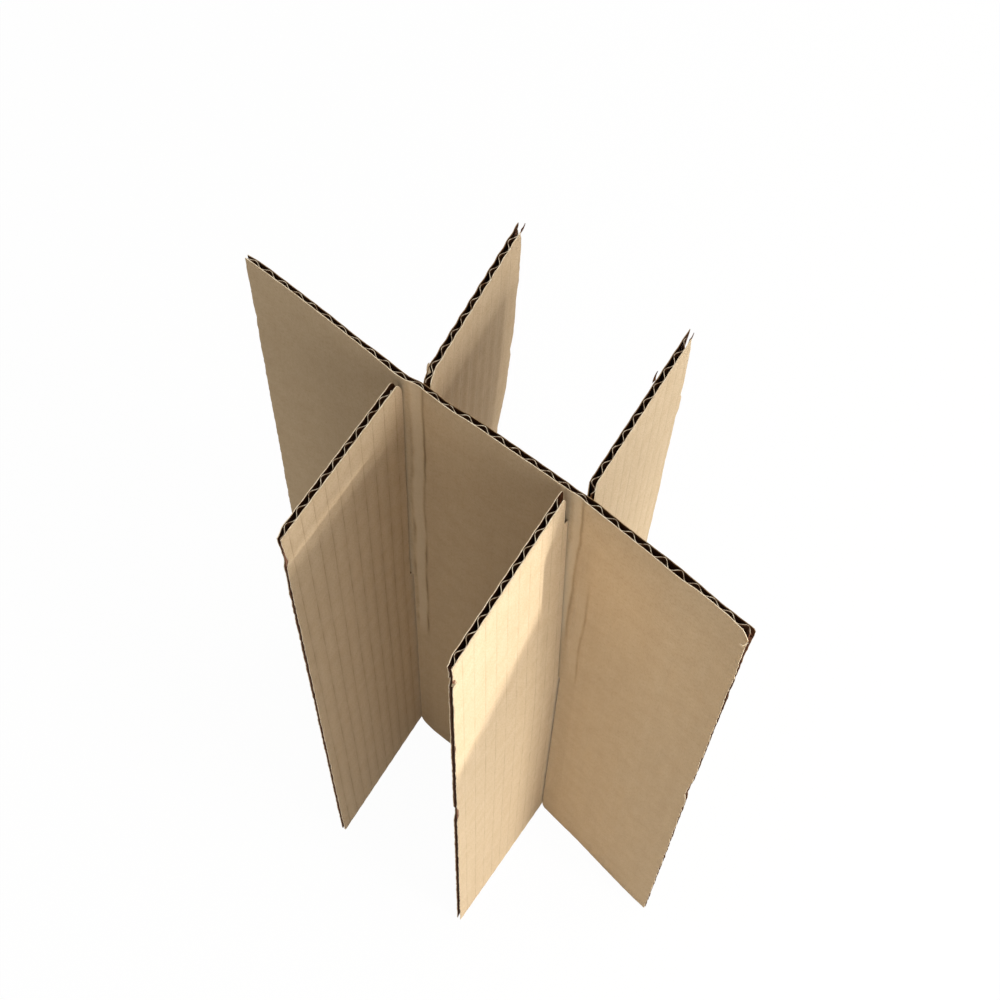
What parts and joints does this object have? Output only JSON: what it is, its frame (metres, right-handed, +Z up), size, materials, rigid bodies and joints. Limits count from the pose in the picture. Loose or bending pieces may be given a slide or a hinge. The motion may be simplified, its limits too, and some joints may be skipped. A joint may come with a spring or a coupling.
{
  "type": "bottle divider insert",
  "caption": "Slotted corrugated-board divider for a bottle carton: one long sheet and two shorter cross sheets that stand upright and part it into open cells.",
  "frame": {"origin": "on the table, under the middle of the set's bounding box", "axes": "+X along the long sheet, +Y across it to the far side, +Z up, along the flutes"},
  "size_m": [0.2468, 0.1683, 0.372],
  "materials": {
    "long_board": "matte brown kraft liner, slightly mottled",
    "left_board": "matte brown kraft liner with the flutes showing through as faint upright lines",
    "right_board": "matte brown kraft liner with the flutes showing through as faint upright lines"
  },
  "bodies": {
    "long_divider": {"long_divider": "long_board"},
    "cross_divider_left": {"cross_divider_left": "left_board"},
    "cross_divider_right": {"cross_divider_right": "right_board"}
  },
  "joints": [
    {"name": "left_rack", "type": "hinge", "parent": "long_divider", "child": "cross_divider_left", "pos_m": [-0.04268, -0.00239, 0.186], "axis": [0, 0, 1], "range_deg": [-25, 30]},
    {"name": "right_rack", "type": "hinge", "parent": "long_divider", "child": "cross_divider_right", "pos_m": [0.04268, 0.00239, 0.186], "axis": [0, 0, 1], "range_deg": [-25, 30]}
  ]
}
